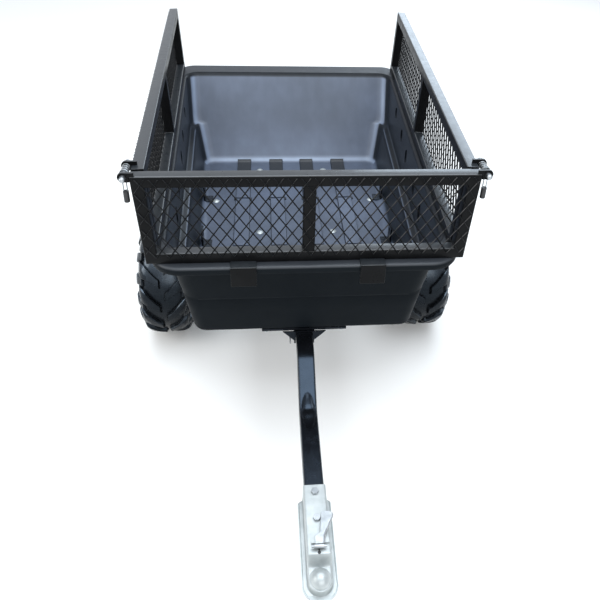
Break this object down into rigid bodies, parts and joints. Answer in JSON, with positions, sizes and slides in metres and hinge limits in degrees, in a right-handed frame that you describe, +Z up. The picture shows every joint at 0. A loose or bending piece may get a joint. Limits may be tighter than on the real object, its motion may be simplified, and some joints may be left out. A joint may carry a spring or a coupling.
{
  "type": "dump trailer",
  "caption": "Two-wheel garden dump trailer: tapered black poly tub, lift-off mesh side rails with spring latches, cranked square drawbar and a ball coupler.",
  "frame": {"origin": "on the ground under the middle of the overall box", "axes": "+X right when facing rearwards from the coupler, +Y towards the tub's rear, +Z up"},
  "size_m": [1.175, 2.15, 1.0514],
  "materials": {
    "poly_tub": "black moulded polyethylene, fine grain with a satin sheen",
    "black_powder": "black powder coat, slight orange peel, semi-gloss",
    "bright_zinc": "bright zinc plate",
    "plain_steel": "turned steel, lightly oiled",
    "silver_wheel": "silver paint on pressed steel",
    "tyre_rubber": "new black rubber, low sheen",
    "vinyl_grip": "dipped black vinyl",
    "black_plastic": "black moulded plastic"
  },
  "bodies": {
    "chassis": {"drawbar": "black_powder", "drawbar_end_cap": "black_plastic", "axle_riser_left": "black_powder", "axle_riser_right": "black_powder", "riser_bolts": "bright_zinc", "axle_beam": "black_powder", "axle_shaft": "plain_steel", "axle_spacers": "plain_steel", "axle_nuts": "bright_zinc", "axle_cotters": "bright_zinc", "axle_strut_left": "black_powder", "axle_strut_right": "black_powder", "pivot_tube": "black_powder", "coupler_body": "bright_zinc", "coupler_bolts": "bright_zinc", "coupler_pins": "bright_zinc"},
    "tub": {"tub_shell": "poly_tub", "runner_left": "black_powder", "runner_right": "black_powder", "cross_bars": "black_powder", "front_saddle": "black_powder", "saddle_pad": "black_plastic", "pivot_bolt": "bright_zinc", "pivot_nut": "bright_zinc", "floor_bolts": "bright_zinc", "floor_nuts": "bright_zinc", "tie_down_brackets": "black_powder"},
    "rail_kit": {"front_rail_frame": "black_powder", "front_mesh": "black_powder", "front_hook_straps": "black_powder", "side_rail_frame_left": "black_powder", "side_rail_frame_right": "black_powder", "side_mesh_left": "black_powder", "side_mesh_right": "black_powder", "side_hook_straps": "black_powder", "latch_ears": "black_powder"},
    "lock": {"lock_pin": "bright_zinc", "lock_ring": "bright_zinc"},
    "lever": {"coupler_lever": "bright_zinc"},
    "clamp": {"ball_clamp": "bright_zinc"},
    "latch_left": {"latch_pin_left": "bright_zinc", "latch_grip_left": "vinyl_grip", "latch_spring_left": "bright_zinc"},
    "road_wheel_left": {"tyre_left": "tyre_rubber", "wheel_left": "silver_wheel", "hub_left": "plain_steel", "lug_nuts_left": "bright_zinc", "valve_stem_left": "tyre_rubber", "bearings_left": "plain_steel", "dust_cap_left": "black_plastic"},
    "latch_right": {"latch_pin_right": "bright_zinc", "latch_grip_right": "vinyl_grip", "latch_spring_right": "bright_zinc"},
    "road_wheel_right": {"tyre_right": "tyre_rubber", "wheel_right": "silver_wheel", "hub_right": "plain_steel", "lug_nuts_right": "bright_zinc", "valve_stem_right": "tyre_rubber", "bearings_right": "plain_steel", "dust_cap_right": "black_plastic"}
  },
  "joints": [
    {"name": "tub_dump", "type": "hinge", "parent": "chassis", "child": "tub", "pos_m": [0, 0.36, 0.362], "axis": [-1, 0, 0], "range_deg": [0, 45]},
    {"name": "rails_lift", "type": "slide", "parent": "tub", "child": "rail_kit", "axis": [0, 0, 1], "range_m": [0, 0.08]},
    {"name": "lock_pull", "type": "slide", "parent": "chassis", "child": "lock", "axis": [-1, 0, 0], "range_m": [0, 0.072]},
    {"name": "lever_lift", "type": "hinge", "parent": "chassis", "child": "lever", "pos_m": [0, -0.976, 0.3634], "axis": [1, 0, 0], "range_deg": [0, 100]},
    {"name": "clamp_release", "type": "hinge", "parent": "chassis", "child": "clamp", "pos_m": [0, -0.968, 0.338], "axis": [1, 0, 0], "range_deg": [0, 12]},
    {"name": "latch_left_pull", "type": "slide", "parent": "rail_kit", "child": "latch_left", "axis": [0, 1, 0], "range_m": [0, 0.026], "stiffness_N_per_m": 400, "springref_m": -0.01, "deforming": ["latch_spring_left"]},
    {"name": "wheel_left_spin", "type": "hinge", "parent": "chassis", "child": "road_wheel_left", "pos_m": [-0.49, 0.27, 0.228], "axis": [1, 0, 0], "continuous": true},
    {"name": "latch_right_pull", "type": "slide", "parent": "rail_kit", "child": "latch_right", "axis": [0, 1, 0], "range_m": [0, 0.026], "stiffness_N_per_m": 400, "springref_m": -0.01, "deforming": ["latch_spring_right"]},
    {"name": "wheel_right_spin", "type": "hinge", "parent": "chassis", "child": "road_wheel_right", "pos_m": [0.49, 0.27, 0.228], "axis": [1, 0, 0], "continuous": true}
  ],
  "couplings": [
    {"joint": "clamp_release", "follows": "lever_lift", "ratio": 0.12}
  ]
}
